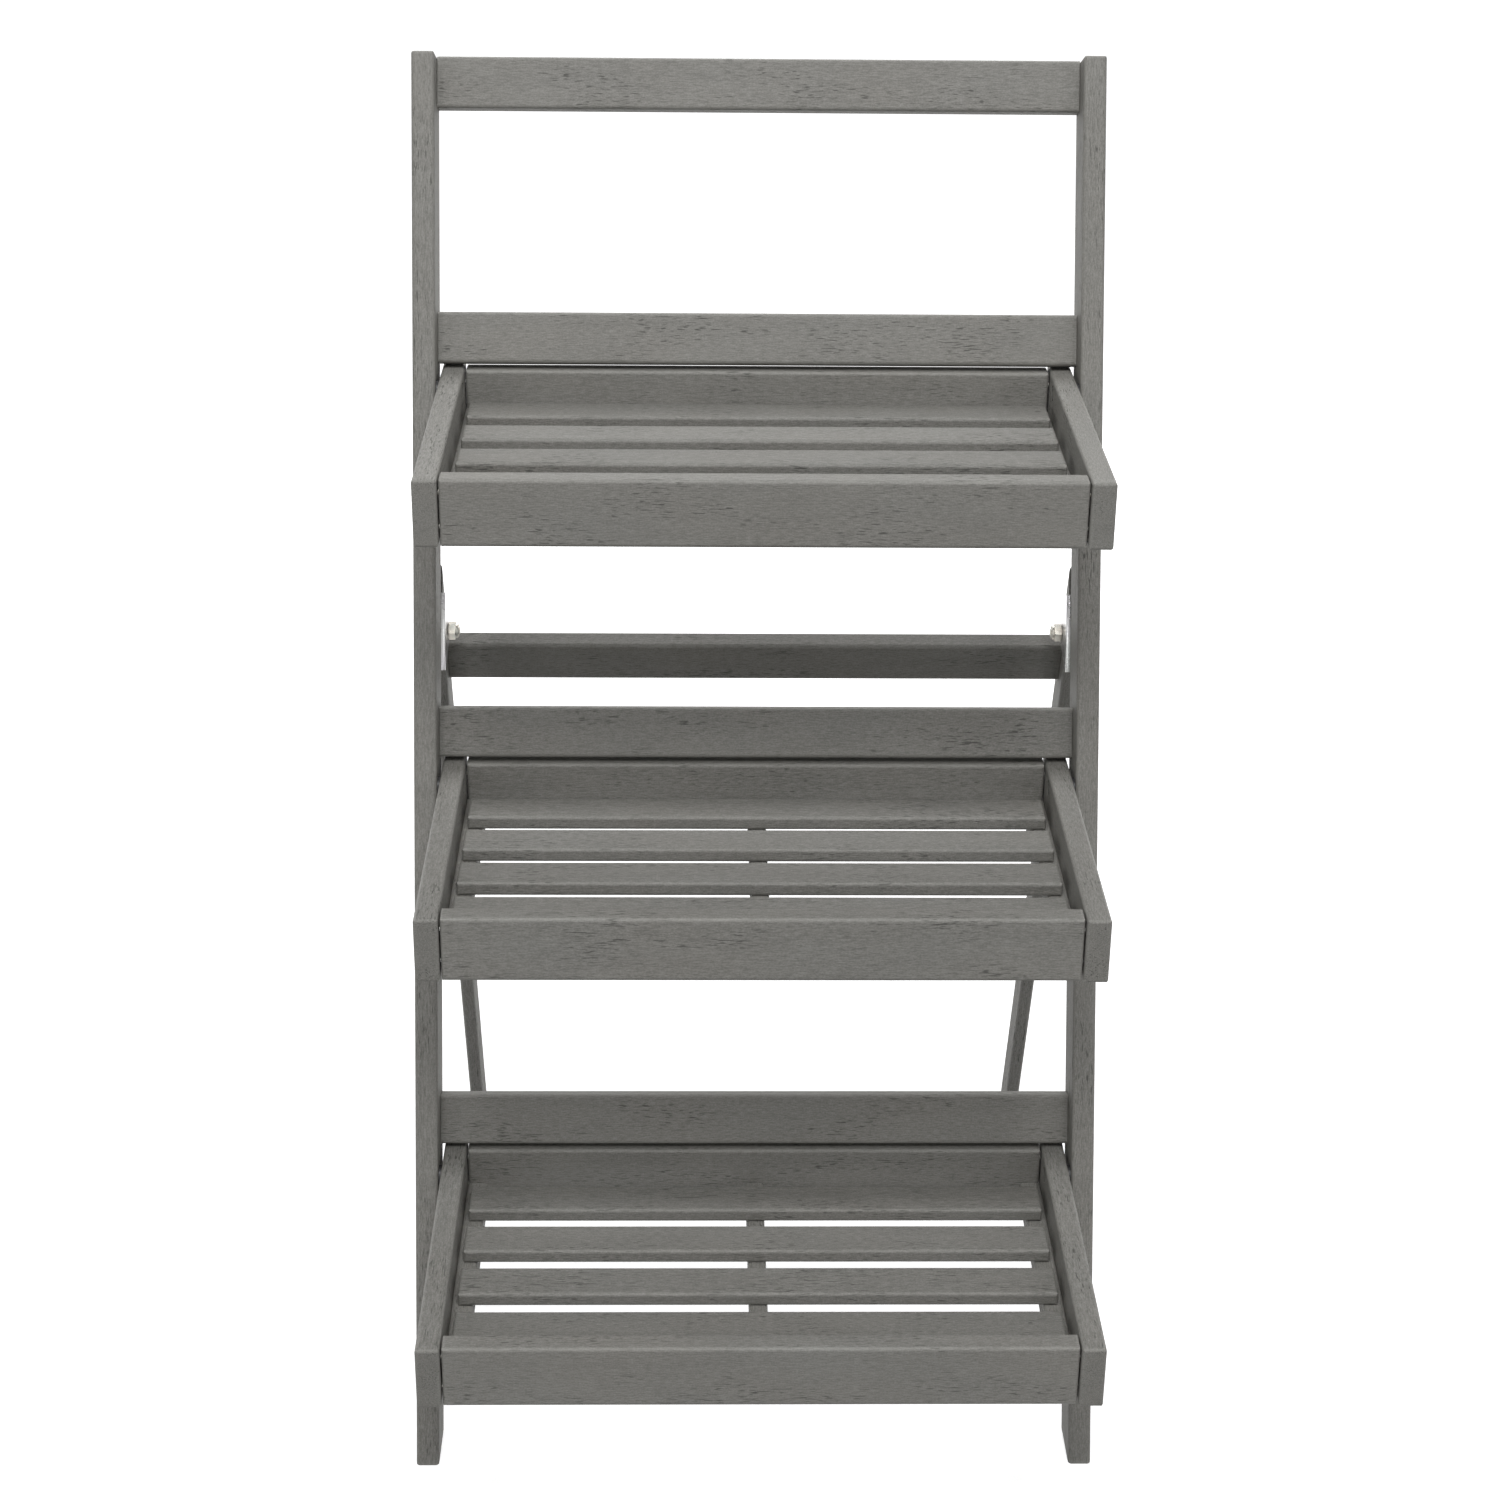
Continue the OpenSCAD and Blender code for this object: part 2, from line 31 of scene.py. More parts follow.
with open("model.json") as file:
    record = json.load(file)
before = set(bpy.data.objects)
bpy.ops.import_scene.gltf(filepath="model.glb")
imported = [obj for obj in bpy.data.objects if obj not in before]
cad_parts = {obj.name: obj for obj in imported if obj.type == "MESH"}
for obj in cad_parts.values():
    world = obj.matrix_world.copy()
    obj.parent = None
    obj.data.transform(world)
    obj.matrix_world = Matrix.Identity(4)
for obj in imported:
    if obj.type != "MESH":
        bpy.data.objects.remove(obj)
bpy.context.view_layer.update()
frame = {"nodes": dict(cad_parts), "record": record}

MM = 0.001
BODIES = frame["record"]["behaviour"]["bodies"]

# Corners nearer than this are one corner
SAME_PLACE = 1e-6

# How far the front ladder leans back, and the rear frame forward
FRONT_LEAN = math.radians(21)
REAR_LEAN = math.radians(21)


# ---- Node trees ----

class Wire:
    """One output of a node. Sums and products of wires add the Math nodes that work them out."""

    def __init__(self, nodes, socket):
        self.nodes = nodes
        self.socket = socket

    def other(self, name):
        """Another output of the same node."""
        return Wire(self.nodes, self.socket.node.outputs[name])

    def math(self, operation, *values):
        return self.nodes.add("ShaderNodeMath", {"operation": operation}, dict(enumerate(values)))

    def __add__(self, value):
        return self.math("ADD", self, value)

    __radd__ = __add__

    def __sub__(self, value):
        return self.math("SUBTRACT", self, value)

    def __rsub__(self, value):
        return self.math("SUBTRACT", value, self)

    def __mul__(self, value):
        return self.math("MULTIPLY", self, value)

    __rmul__ = __mul__

    def __truediv__(self, value):
        return self.math("DIVIDE", self, value)

    def __rtruediv__(self, value):
        return self.math("DIVIDE", value, self)

    def __pow__(self, value):
        return self.math("POWER", self, value)

    def __rpow__(self, value):
        return self.math("POWER", value, self)

    def __neg__(self):
        return self.math("MULTIPLY", self, -1.0)

    def __abs__(self):
        return self.math("ABSOLUTE", self)

    def most(self, value):
        """The larger of this and the value."""
        return self.math("MAXIMUM", self, value)

    def past(self, start, end):
        """0 up to start and 1 from end on, with a smooth step between them."""
        return self.nodes.add("ShaderNodeMapRange", {"interpolation_type": "SMOOTHSTEP"},
                              {"Value": self, "From Min": start, "From Max": end})


class NodeTree:
    """A shader or geometry tree, with one method that adds any node to it."""

    def __init__(self, tree):
        self.tree = tree

    def add(self, kind, settings=None, inputs=None, output=0):
        """A new node of this kind. An input is a value, a wire, or a list of wires for a socket of many."""
        node = self.tree.nodes.new(kind)
        for name, value in (settings or {}).items():
            if name == "stops":
                self.set_stops(node.color_ramp, value)
            else:
                setattr(node, name, value)
        for name, value in (inputs or {}).items():
            for item in value if isinstance(value, list) else [value]:
                if isinstance(item, Wire):
                    self.tree.links.new(item.socket, node.inputs[name])
                else:
                    node.inputs[name].default_value = item
        return Wire(self, node.outputs[output]) if node.outputs else None

    def set_stops(self, ramp, stops):
        ramp.elements.remove(ramp.elements[1])
        ramp.elements[0].position, ramp.elements[0].color = stops[0]
        for position, colour in stops[1:]:
            ramp.elements.new(position).color = colour

    def shown_rays(self):
        """1 on the rays that show a surface: those from the camera, and those through metal and glass."""
        rays = self.add("ShaderNodeLightPath")
        mirrored = rays.other("Is Glossy Ray").most(rays.other("Is Transmission Ray"))
        return rays.other("Is Camera Ray").most(mirrored)


class Finish(NodeTree):
    """A new material with one Principled shader, and the patterns that its finishes share."""

    def __init__(self, name):
        self.material = bpy.data.materials.new(name)
        self.material.use_nodes = True
        super().__init__(self.material.node_tree)
        self.tree.nodes.clear()

    def object_place(self):
        return self.add("ShaderNodeTexCoord", output="Object")

    def noise(self, place, patch, detail, shift=0.0):
        """Noise from 0 to 1 whose patches are about this long along each axis, read from a shifted place."""
        density = tuple(1 / length for length in patch)
        read_at = self.add("ShaderNodeVectorMath", {"operation": "MULTIPLY_ADD"},
                           {0: place, 1: density, 2: (shift, 1.7 * shift, -shift)})
        return self.add("ShaderNodeTexNoise", None, {"Vector": read_at, "Scale": 1.0, "Detail": detail})

    def blend(self, amount, below, above, how="MIX"):
        """The colour below with the colour above over it, by this amount."""
        return self.add("ShaderNodeMix", {"data_type": "RGBA", "blend_type": how},
                        {0: amount, 6: below, 7: above}, output=2)

    def bump(self, height, depth, strength):
        return self.add("ShaderNodeBump", None, {"Height": height, "Distance": depth, "Strength": strength})

    def done(self, **inputs):
        """The material, with these inputs on its shader, such as Base_Color for the socket Base Color."""
        named = {name.replace("_", " "): value for name, value in inputs.items()}
        surface = self.add("ShaderNodeBsdfPrincipled", None, named)
        self.add("ShaderNodeOutputMaterial", None, {"Surface": surface})
        return self.material


def rgb(red, green, blue):
    return (red, green, blue, 1.0)


def grey(shade):
    return rgb(shade, shade, shade)


def added(name, data):
    """A new object in the scene, which holds this mesh, lamp or camera."""
    new = bpy.data.objects.new(name, data)
    bpy.context.scene.collection.objects.link(new)
    return new


# ---- Boards ----

# Which of a board's own axes run along, across and through its grain
GRAIN_ORDERS = {"X": (0, 1, 2), "Y": (1, 2, 0), "Z": (2, 0, 1)}
BOARD_LEANS = {"front_ladder": FRONT_LEAN, "rear_frame": -REAR_LEAN}

# How far the heart of the log lies from the middle of a board, across and through it
PITH_ACROSS = (30 * MM, 90 * MM)
PITH_THROUGH = (20 * MM, 70 * MM)

# How far apart in the noise the boards' grain is read
GRAIN_SHIFTS = (3, 90)

# Boards differ in tone by up to this much either way, and the slats carry painted shade, darker for the shade
# that falls on them low inside the trays
TONE_SPREAD = 0.05
SLAT_PAINTED_SHADE = -0.20


def grain_axis(node):
    """The axis that a board lies along in a frame that stands upright."""
    if node.endswith("leg"):
        return "Z"
    if node.endswith(("side_rail", "cleat", "batten")):
        return "Y"
    return "X"


class Board:
    """Where a board lies, and where in the log it was cut."""

    def __init__(self, node, body, number):
        self.node = node
        tilt = Matrix.Rotation(-BOARD_LEANS.get(body, 0.0), 3, "X")
        turn = Matrix([tilt.col[axis] for axis in GRAIN_ORDERS[grain_axis(node)]]).transposed()
        corners = [turn.transposed() @ vertex.co for vertex in frame["nodes"][node].data.vertices]
        low = Vector([min(corner[axis] for corner in corners) for axis in range(3)])
        high = Vector([max(corner[axis] for corner in corners) for axis in range(3)])
        self.middle = turn @ ((low + high) / 2)
        self.turn = turn.to_euler()
        self.half = (high - low) / 2
        draw = random.Random(number)
        self.shift = draw.uniform(*GRAIN_SHIFTS)
        self.pith = (draw.uniform(*PITH_ACROSS) * draw.choice((-1, 1)), draw.uniform(*PITH_THROUGH))
        # A slat's tone also holds painted shade, on top of its random tone
        self.tone = draw.uniform(-TONE_SPREAD, TONE_SPREAD) + (SLAT_PAINTED_SHADE if "slat" in node else 0.0)


STAIN_DARK = rgb(0.155, 0.154, 0.142)
STAIN_PALE = rgb(0.305, 0.302, 0.284)
STAIN_WARM = rgb(1.03, 1.0, 0.98)
PORE = rgb(0.075, 0.075, 0.068)
# Pale rubbed wear on the boards' edges, which also serves as a painted highlight on their rounded edges
RUBBED_EDGE_AND_HIGHLIGHT = rgb(0.42, 0.415, 0.385)

# Where a plain board lies between the dark stain and the pale one
STAIN_TONE = 0.53

RING_WIDTH = 3.4 * MM
HEART_SWAY = 45 * MM
EDGE_WIDTH = 3.0 * MM
END_DEPTH = 1.8 * MM

# The patterns of the grain: how long their patches are along, across and through it, how much detail they
# hold, and a shift that sets each apart from the others
GRAIN_PATTERNS = {
    "sway": ((400 * MM, 100 * MM, 100 * MM), 1.0, 0),
    "fibre": ((30 * MM, 1.1 * MM, 1.1 * MM), 2.0, 11),
    "fine_fibre": ((6 * MM, 0.8 * MM, 0.8 * MM), 3.0, 23),
    "speck": ((1.4 * MM, 0.9 * MM, 0.9 * MM), 1.0, 31),
    "cloud": ((70 * MM, 22 * MM, 22 * MM), 3.0, 37),
    "pore": ((9 * MM, 1.1 * MM, 1.1 * MM), 1.0, 41),
    "warmth": ((90 * MM, 40 * MM, 40 * MM), 1.0, 53),
    "open_grain": ((80 * MM, 26 * MM, 26 * MM), 2.0, 67),
}


def stained_wood(board):
    """Grey stain over sanded wood: growth rings, fibres, dark pores, cloudy patches, and pale edges, partly
    rubbed wear and partly a painted highlight.
    """
    wood = Finish("stain_" + board.node)
    place = wood.add("ShaderNodeMapping", {"vector_type": "TEXTURE"},
                     {"Vector": wood.object_place(), "Location": board.middle, "Rotation": board.turn})
    along = wood.add("ShaderNodeSeparateXYZ", None, {"Vector": place})
    across, through = along.other("Y"), along.other("Z")

    def grain(name):
        patch, detail, shift = GRAIN_PATTERNS[name]
        return wood.noise(place, patch, detail, board.shift + shift)

    # Growth rings about the heart of the log, which wanders along the board
    ring_across = across + (grain("sway") - 0.5) * HEART_SWAY + board.pith[0]
    ring_through = through + board.pith[1]
    ring_radius = (ring_across * ring_across + ring_through * ring_through) ** 0.5
    rings = wood.add("ShaderNodeTexNoise", {"noise_dimensions": "1D"},
                     {"W": ring_radius / RING_WIDTH + board.shift, "Scale": 1.0, "Detail": 1.0})
    late_wood = rings.past(0.50, 0.66)

    fibre = grain("fibre")
    fine_fibre = grain("fine_fibre")
    speck = grain("speck")
    cloud = grain("cloud")
    pores = grain("pore").past(0.58, 0.70) * grain("open_grain").past(0.44, 0.62)

    # Paler along the long edges and the cut ends' edges, as rubbed wear and as a painted highlight on the
    # rounded edges, and darker where the ends drink the stain
    near_side = abs(across).past(board.half[1] - EDGE_WIDTH, board.half[1])
    near_face = abs(through).past(board.half[2] - EDGE_WIDTH, board.half[2])
    near_end = abs(along).past(board.half[0] - EDGE_WIDTH, board.half[0])
    edges = near_side * near_face + near_end * near_side.most(near_face)
    rubbed_and_highlight = edges * (fibre * 0.7 + cloud * 0.6)
    end_grain = abs(along).past(board.half[0] - END_DEPTH, board.half[0] - END_DEPTH / 4)

    tone = STAIN_TONE + board.tone - late_wood * 0.05
    for pattern, strength in ((fibre, 0.3), (fine_fibre, 1.7), (speck, 1.1), (cloud, 0.3)):
        tone = tone + (pattern - 0.5) * strength
    colour = wood.blend(tone, STAIN_DARK, STAIN_PALE)
    colour = wood.blend(grain("warmth"), colour, STAIN_WARM, "MULTIPLY")
    colour = wood.blend(end_grain * 0.15, colour, STAIN_DARK)
    colour = wood.blend(pores * 0.8, colour, PORE)
    # The edges turn paler: rubbed wear, and a painted highlight
    colour = wood.blend(rubbed_and_highlight * 0.4, colour, RUBBED_EDGE_AND_HIGHLIGHT)

    roughness = 0.56 + fibre * 0.14 + pores * 0.2 - rubbed_and_highlight * 0.12 + end_grain * 0.1
    height = fine_fibre * 0.5 + fibre * 0.4 - pores * 0.8 - late_wood * 0.1
    return wood.done(Base_Color=colour, Roughness=roughness, Normal=wood.bump(height, 0.2 * MM, 0.6))


# ---- Metal and plastic ----

# The tints that a plating's film drifts through, from one end of its noise to the other
BRACKET_TINTS = [(0.28, rgb(0.53, 0.57, 0.55)), (0.46, rgb(0.65, 0.65, 0.64)), (0.60, rgb(0.62, 0.61, 0.63)),
                 (0.76, rgb(0.67, 0.65, 0.61))]
BOLT_TINTS = [(0.32, rgb(0.38, 0.38, 0.35)), (0.50, rgb(0.50, 0.48, 0.43)), (0.68, rgb(0.54, 0.50, 0.44))]
# The pivots' tints are kept dark as painted shade, for the deep shade on the side rails' inner faces
PIVOT_SHADE_TINTS = [(0.30, rgb(0.17, 0.17, 0.165)), (0.50, rgb(0.24, 0.24, 0.23)), (0.70, rgb(0.30, 0.29, 0.26))]
SCREW_TINTS = [(0.30, rgb(0.52, 0.53, 0.52)), (0.50, rgb(0.66, 0.66, 0.64)), (0.70, rgb(0.70, 0.66, 0.54))]
ZINC_SPECK = rgb(0.36, 0.36, 0.35)


def even(length):
    """A patch that is as long along every axis."""
    return (length, length, length)


def zinc(name, tints, bloom, roughness):
    """Zinc plating: a thin film whose tint drifts, over rolled and slightly rubbed steel."""
    plate = Finish(name)
    place = plate.object_place()
    film = plate.noise(place, (bloom, bloom, 1.6 * bloom), 3.0)
    rolled = plate.noise(place, (0.5 * MM, 0.5 * MM, 12 * MM), 2.0, 5.0)
    smear = plate.noise(place, even(5 * MM), 3.0, 9.0)
    speck = plate.noise(place, even(0.5 * MM), 1.0, 13.0).past(0.66, 0.74)
    colour = plate.add("ShaderNodeValToRGB", {"stops": tints}, {"Fac": film})
    colour = plate.blend(speck * 0.4, colour, ZINC_SPECK)
    rough = roughness + (smear - 0.5) * 0.22 + (rolled - 0.5) * 0.12 + speck * 0.2
    height = rolled * 0.5 + smear * 0.3 - speck * 0.6
    return plate.done(Base_Color=colour, Metallic=1.0, Roughness=rough,
                      Normal=plate.bump(height, 0.03 * MM, 0.5))


def nylon(name, dark, pale):
    """Moulded nylon, faintly mottled."""
    moulded = Finish(name)
    mottle = moulded.noise(moulded.object_place(), even(1.5 * MM), 2.0)
    return moulded.done(Base_Color=moulded.blend(mottle, dark, pale), Roughness=0.36 + mottle * 0.2,
                        Normal=moulded.bump(mottle, 0.04 * MM, 0.5))


# ---- Reading the CAD pieces ----

# How much the corners round a screw's head may differ in their distance from its tip
RIM_SPREAD = 0.01 * MM


def merged(node):
    """A copy of a node's mesh, with its loose triangles joined at their corners."""
    mesh = bmesh.new()
    mesh.from_mesh(frame["nodes"][node].data)
    bmesh.ops.remove_doubles(mesh, verts=mesh.verts, dist=SAME_PLACE)
    return mesh


def middle(points):
    return sum(points, Vector()) / len(points)


def halfway(values):
    return (min(values) + max(values)) / 2


def solids(node):
    """The corner points of each separate solid of a node, in order of where they lie, to a millimetre."""
    mesh = merged(node)
    reached = set()
    groups = []
    for start in mesh.verts:
        if start in reached:
            continue
        reached.add(start)
        group = [start]
        # The list grows as it is walked, until it holds the whole solid
        for corner in group:
            for edge in corner.link_edges:
                beside = edge.other_vert(corner)
                if beside not in reached:
                    reached.add(beside)
                    group.append(beside)
        groups.append([corner.co.copy() for corner in group])
    mesh.free()
    return sorted(groups, key=lambda points: [round(value / MM) for value in middle(points)])


def screw_places(node):
    """The middle of the top of each screw's head, its aim, its head's width and its length."""
    found = []
    for points in solids(node):
        centre = middle(points)
        tip = max(points, key=lambda point: (point - centre).length)
        reach = max((point - tip).length for point in points)
        rim = [point for point in points if (point - tip).length > reach - RIM_SPREAD]
        top = middle(rim)
        width = 2 * max((point - top).length for point in rim)
        found.append((top, (tip - top).normalized(), width, (tip - top).length))
    return found


def across_places(node):
    """For each solid that lies along X: the middle of its outer and of its inner end."""
    found = []
    for points in solids(node):
        xs, ys, zs = zip(*points)
        outer, inner = sorted((min(xs), max(xs)), key=abs, reverse=True)
        found.append([Vector((x, halfway(ys), halfway(zs))) for x in (outer, inner)])
    return found


def inward(ends, depth=0.0):
    """A point this deep inside each piece's outer end, and the way in from there."""
    aims = [(inner - outer).normalized() for outer, inner in ends]
    return [(outer + aim * depth, aim) for (outer, inner), aim in zip(ends, aims)]


def length_of(ends):
    """How long each of these like pieces is."""
    outer, inner = ends[0]
    return (inner - outer).length


# ---- Fasteners, made by geometry nodes ----

# Faces that meet at more than this are creased
CREASE = math.radians(32)

# How many sides a round screw, bolt or nut has
SCREW_SIDES = 20
PIVOT_SIDES = 40
HINGE_SIDES = 48

# Draws how far each fastener was turned when it was driven home
SPIN_SEED = 7


class FastenerTree(NodeTree):
    """A geometry tree that stands a copy of one fastener on every point, aimed along the point's own axis.
    The fastener is drawn along Z, and its sizes are the tree's named inputs."""

    def __init__(self, name, sizes, material):
        super().__init__(bpy.data.node_groups.new(name, "GeometryNodeTree"))
        self.material = material
        sockets = self.tree.interface
        sockets.new_socket("Places", in_out="INPUT", socket_type="NodeSocketGeometry")
        for size in sizes:
            sockets.new_socket(size, in_out="INPUT", socket_type="NodeSocketFloat")
        sockets.new_socket("Seed", in_out="INPUT", socket_type="NodeSocketInt")
        sockets.new_socket("Fasteners", in_out="OUTPUT", socket_type="NodeSocketGeometry")
        self.entry = self.add("NodeGroupInput")
        self.sizes = [self.entry.other(size) for size in sizes]

    def moved(self, shape, up=0.0, scale=(1, 1, 1)):
        offset = self.add("ShaderNodeCombineXYZ", None, {"Z": up})
        return self.add("GeometryNodeTransform", None,
                        {"Geometry": shape, "Translation": offset, "Scale": scale})

    def band(self, low_radius, high_radius, low, high, sides, ends="NONE"):
        """The side of a frustum from one height to another. With ends, it is a solid."""
        cone = self.add("GeometryNodeMeshCone", {"fill_type": ends},
                        {"Vertices": sides, "Radius Bottom": low_radius, "Radius Top": high_radius,
                         "Depth": high - low})
        return self.moved(cone, low)

    def turned(self, outline, sides):
        """A solid of revolution from (radius, height) points, which start and end on the axis."""
        bands = [self.band(low_radius, high_radius, low, high, sides)
                 for (low_radius, low), (high_radius, high) in zip(outline, outline[1:])]
        joined = self.add("GeometryNodeJoinGeometry", None, {"Geometry": bands})
        return self.add("GeometryNodeMergeByDistance", None, {"Geometry": joined, "Distance": SAME_PLACE})

    def cut(self, body, tools):
        return self.add("GeometryNodeMeshBoolean", {"operation": "DIFFERENCE", "solver": "EXACT"},
                        {"Mesh 1": body, "Mesh 2": tools})

    def combined(self, operation, shapes):
        """What the shapes share, with INTERSECT, or all of them as one, with UNION."""
        return self.add("GeometryNodeMeshBoolean", {"operation": operation, "solver": "EXACT"},
                        {"Mesh 2": shapes})

    def thread(self, radius, pitch, low, turns):
        """A ridge that winds round a shank."""
        spiral = self.add("GeometryNodeCurveSpiral", None,
                          {"Resolution": 20, "Rotations": turns, "Start Radius": radius, "End Radius": radius,
                           "Height": turns * pitch})
        profile = self.add("GeometryNodeCurvePrimitiveCircle", None,
                           {"Resolution": 4, "Radius": pitch * 0.42})
        ridge = self.add("GeometryNodeCurveToMesh", None,
                         {"Curve": spiral, "Profile Curve": profile, "Fill Caps": True})
        return self.moved(ridge, low)

    def finish(self, shape):
        """The whole tree, with the shape aimed and spun on every point, creased, and given its material."""
        aim = self.add("GeometryNodeInputNamedAttribute", {"data_type": "FLOAT_VECTOR"}, {"Name": "aim"})
        upright = self.add("FunctionNodeAlignRotationToVector", {"axis": "Z"}, {"Vector": aim})
        spin = self.add("FunctionNodeRandomValue", {"data_type": "FLOAT"},
                        {2: 0.0, 3: math.tau, "Seed": self.entry.other("Seed")}, output=1)
        about_z = self.add("FunctionNodeEulerToRotation", None,
                           {"Euler": self.add("ShaderNodeCombineXYZ", None, {"Z": spin})})
        turned = self.add("FunctionNodeRotateRotation", {"rotation_space": "LOCAL"},
                          {"Rotation": upright, "Rotate By": about_z})
        placed = self.add("GeometryNodeInstanceOnPoints", None,
                          {"Points": self.entry, "Instance": shape, "Rotation": turned})
        real = self.add("GeometryNodeRealizeInstances", None, {"Geometry": placed})
        angle = self.add("GeometryNodeInputMeshEdgeAngle")
        sharp = self.add("FunctionNodeCompare", {"operation": "GREATER_THAN"}, {"A": angle, "B": CREASE})
        smooth = self.add("GeometryNodeSetShadeSmooth", {"domain": "FACE"}, {"Geometry": real})
        creased = self.add("GeometryNodeSetShadeSmooth", {"domain": "EDGE"},
                           {"Geometry": smooth, "Selection": sharp, "Shade Smooth": False})
        made = self.add("GeometryNodeSetMaterial", None, {"Geometry": creased, "Material": self.material})
        self.add("NodeGroupOutput", None, {"Fasteners": made})
        return self.tree


def screw_tree(material):
    """A countersunk wood screw with a cross recess. The top of its head is at the point."""
    tree = FastenerTree("wood_screws", ["Head", "Shank", "Length"], material)
    head, shank, length = tree.sizes
    core = shank * 0.42
    body = tree.turned([(0, 0), (head * 0.47, 0), (head * 0.5, head * 0.03), (shank * 0.5, head * 0.27),
                        (core, head * 0.4), (core, length - shank * 1.5), (0, length)], SCREW_SIDES)
    blade = tree.band(head * 0.30, head * 0.14, head * -0.02, head * 0.2, 4, "NGON")
    thinner = 0.30
    cross = [tree.moved(blade, scale=(thinner, 1, 1)), tree.moved(blade, scale=(1, thinner, 1))]
    return tree.finish(tree.cut(body, cross))


def pivot_bolt_tree(material):
    """A countersunk bolt with a six-sided socket. The top of its head is at the point."""
    tree = FastenerTree("pivot_bolts", ["Head", "Shank", "Length"], material)
    head, shank, length = tree.sizes
    radius = shank * 0.5
    chamfer = shank * 0.12
    body = tree.turned([(0, 0), (head * 0.48, 0), (head * 0.5, head * 0.02), (radius, (head - shank) * 0.5),
                        (radius, length - chamfer), (radius - chamfer, length), (0, length)], PIVOT_SIDES)
    socket = tree.band(shank * 0.36, shank * 0.34, head * -0.02, shank * 0.45, 6, "NGON")
    return tree.finish(tree.cut(body, socket))


def pivot_nut_tree(material):
    """A low round nut, crowned towards +Z. The bolt's end fills its bore."""
    tree = FastenerTree("pivot_nuts", ["Width", "Bore", "Height"], material)
    width, bore, height = tree.sizes
    return tree.finish(tree.turned([(bore * 0.5, 0), (width * 0.5, 0), (width * 0.5, height * 0.3),
                                    (width * 0.47, height * 0.62), (width * 0.42, height * 0.88),
                                    (width * 0.37, height), (bore * 0.55, height),
                                    (bore * 0.5, height * 0.94), (bore * 0.5, 0)], PIVOT_SIDES))


def hinge_nut_tree(material):
    """A lock nut: a six-sided body with turned corners, and a collar rolled in over a ring."""
    tree = FastenerTree("hinge_nuts", ["Flats", "Bore", "Body height", "Collar height"], material)
    flats, bore, body_h, collar_h = tree.sizes
    radius = flats * 0.5
    corner = radius / math.cos(math.radians(30))
    chamfer = radius * 0.14
    hexagon = tree.band(corner, corner, 0.0, body_h, 6, "NGON")
    lens = tree.turned([(0, 0), (radius * 0.95, 0), (radius * 1.2, chamfer), (radius * 1.2, body_h - chamfer),
                        (radius * 0.95, body_h), (0, body_h)], HINGE_SIDES)
    body = tree.combined("INTERSECT", [hexagon, lens])
    top = body_h + collar_h
    collar = tree.turned([(0, body_h * 0.9), (radius * 0.93, body_h * 0.9),
                          (radius * 0.93, body_h + collar_h * 0.45),
                          (radius * 0.90, body_h + collar_h * 0.72), (radius * 0.82, top - collar_h * 0.06),
                          (radius * 0.76, top), (radius * 0.72, top - collar_h * 0.08),
                          (radius * 0.72, top - collar_h * 0.4), (0, top - collar_h * 0.4)], HINGE_SIDES)
    hole = tree.band(bore * 0.5, bore * 0.5, body_h * -0.1, body_h * 1.5, HINGE_SIDES, "NGON")
    return tree.finish(tree.cut(tree.combined("UNION", [body, collar]), hole))


def lock_ring_tree(material):
    """The ring inside a lock nut's collar, which grips the thread."""
    tree = FastenerTree("lock_rings", ["Flats", "Bore", "Low", "High"], material)
    flats, bore, low, high = tree.sizes
    outer = flats * 0.36
    inner = bore * 0.5
    wall = outer - inner
    height = high - low
    return tree.finish(tree.turned([(inner, low), (outer, low), (outer, high - height * 0.1),
                                    (outer - wall * 0.25, high), (inner + wall * 0.2, high),
                                    (inner, high - height * 0.25), (inner, low)], HINGE_SIDES))


def hinge_bolt_tree(material):
    """A bolt with a low round head and a six-sided socket. The underside of its head is at the point."""
    tree = FastenerTree("hinge_bolts", ["Head", "Head height", "Rim", "Shank", "Length"], material)
    head, head_h, rim, shank, length = tree.sizes
    radius = head * 0.5
    crown = head_h - rim
    steps = 8
    angles = [math.radians(90) * step / steps for step in range(steps - 1, -1, -1)]
    crown_points = [(radius * math.cos(angle), -rim - crown * math.sin(angle)) for angle in angles]
    chamfer = shank * 0.1
    core = shank * 0.44
    body = tree.turned([(0, -head_h)] + crown_points +
                       [(radius * 0.97, 0), (shank * 0.5, 0), (shank * 0.5, length - shank * 1.5),
                        (core, length - shank * 1.4), (core, length - chamfer), (core - chamfer, length),
                        (0, length)], HINGE_SIDES)
    socket = tree.band(shank * 0.40, shank * 0.40, head_h * -1.1, head_h * -0.3, 6, "NGON")
    turns = 8.0
    pitch = shank * 0.15
    ridge = tree.thread(core, pitch, length - pitch * (turns + 0.8), turns)
    whole = [tree.cut(body, socket), ridge]
    return tree.finish(tree.add("GeometryNodeJoinGeometry", None, {"Geometry": whole}))


def fasteners(name, tree, places, sizes, body, node):
    """One piece with a fastener of the tree at each (point, aim). It replaces the node, if one is given."""
    points = bpy.data.meshes.new(name)
    points.from_pydata([point for point, aim in places], [], [])
    aims = points.attributes.new("aim", "FLOAT_VECTOR", "POINT")
    for item, (point, aim) in zip(aims.data, places):
        item.vector = aim
    piece = added(name, points)
    modifier = piece.modifiers.new("fasteners", "NODES")
    modifier.node_group = tree
    values = {**sizes, "Seed": SPIN_SEED}
    for socket in tree.interface.items_tree:
        if socket.in_out == "INPUT" and socket.name in values:
            modifier[socket.identifier] = values[socket.name]
    made = bpy.data.meshes.new_from_object(piece.evaluated_get(bpy.context.evaluated_depsgraph_get()))
    piece.modifiers.clear()
    piece.data = made
    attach(piece, body)
    if node:
        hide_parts(node)


# ---- The stand ----

